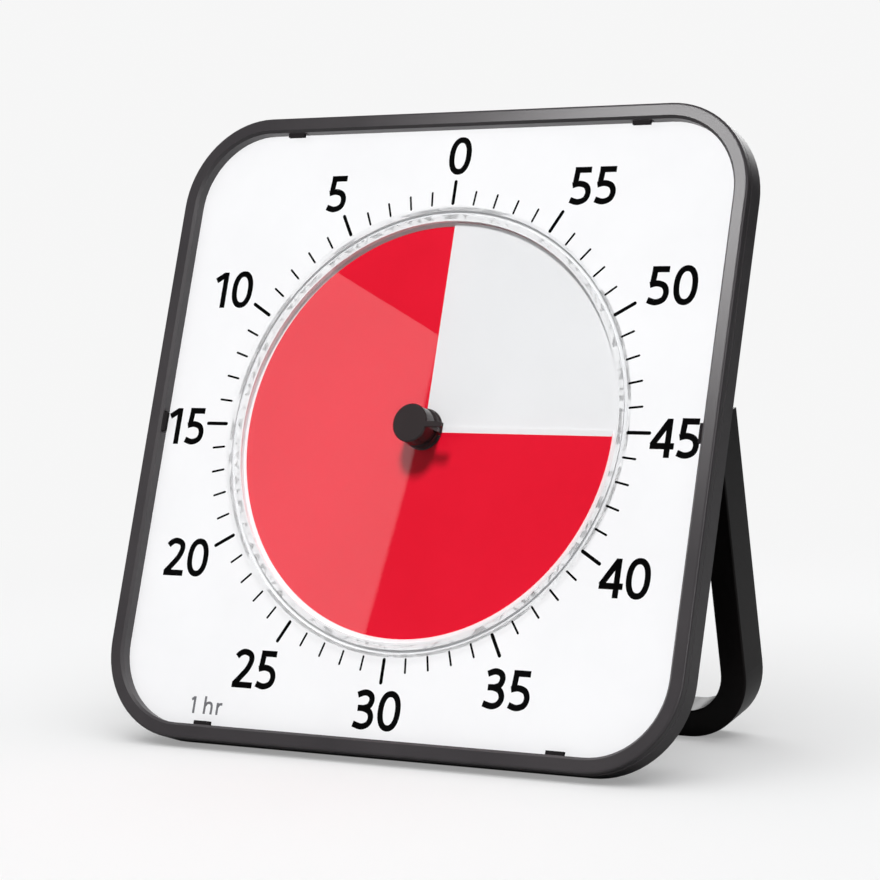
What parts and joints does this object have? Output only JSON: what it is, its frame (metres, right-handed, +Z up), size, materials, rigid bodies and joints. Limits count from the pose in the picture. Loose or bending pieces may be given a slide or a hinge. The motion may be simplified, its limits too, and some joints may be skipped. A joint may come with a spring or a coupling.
{
  "type": "visual countdown timer",
  "caption": "Square free-standing visual countdown timer: a red disc sector shows the time left behind a clear lens, set by a centre knob, propped on a folding bail stand.",
  "frame": {"origin": "centre of the bounding box at floor level, under the timer as it stands open on its stand", "axes": "+Z up, +X to the reader's right across the dial, +Y away from the reader; the dial leans back 21 degrees and faces -Y"},
  "size_m": [0.305, 0.139, 0.2891],
  "materials": {
    "charcoal_shell": "fine-textured moulded charcoal plastic",
    "stand_plastic": "smooth near-black moulded plastic",
    "white_face": "satin white sheet",
    "red_sheet": "satin red sheet",
    "clear_lens": "clear moulded plastic",
    "black_gloss": "black moulded plastic",
    "steel": "plated steel",
    "brass": "turned brass",
    "cell_jacket": "plain unmarked jacket",
    "board_green": "solder-masked board",
    "switch_grey": "grey moulded plastic"
  },
  "bodies": {
    "case": {"front_bezel": "charcoal_shell", "rear_housing": "charcoal_shell", "face_plate": "white_face", "clear_lens": "clear_lens", "white_disc": "white_face", "movement_case": "black_gloss", "movement_cover": "black_gloss", "movement_washer": "steel", "movement_nut": "brass", "hinge_pins": "stand_plastic", "case_screws": "steel", "battery_cell": "cell_jacket", "battery_spring": "steel", "battery_contact": "steel", "circuit_board": "board_green", "buzzer": "black_gloss", "switch_body": "black_gloss"},
    "dial": {"knob": "black_gloss", "spindle": "steel", "disc_hub": "black_gloss", "red_disc": "red_sheet"},
    "stand": {"bail_stand": "stand_plastic"},
    "door": {"battery_door": "charcoal_shell"},
    "slider": {"switch_slider": "switch_grey"}
  },
  "joints": [
    {"name": "dial_turn", "type": "hinge", "parent": "case", "child": "dial", "pos_m": [0, -0.00944, 0.14501], "axis": [0, -0.9332, 0.3593], "range_deg": [-270, 90], "deforming": ["red_disc"]},
    {"name": "bail_hinge", "type": "hinge", "parent": "case", "child": "stand", "pos_m": [0, 0.01906, 0.14689], "axis": [1, 0, 0], "range_deg": [-30, 0]},
    {"name": "door_lift", "type": "slide", "parent": "case", "child": "door", "axis": [0, 0.9332, -0.3593], "range_m": [0, 0.03]},
    {"name": "switch_slide", "type": "slide", "parent": "case", "child": "slider", "axis": [1, 0, 0], "range_m": [0, 0.004]}
  ]
}
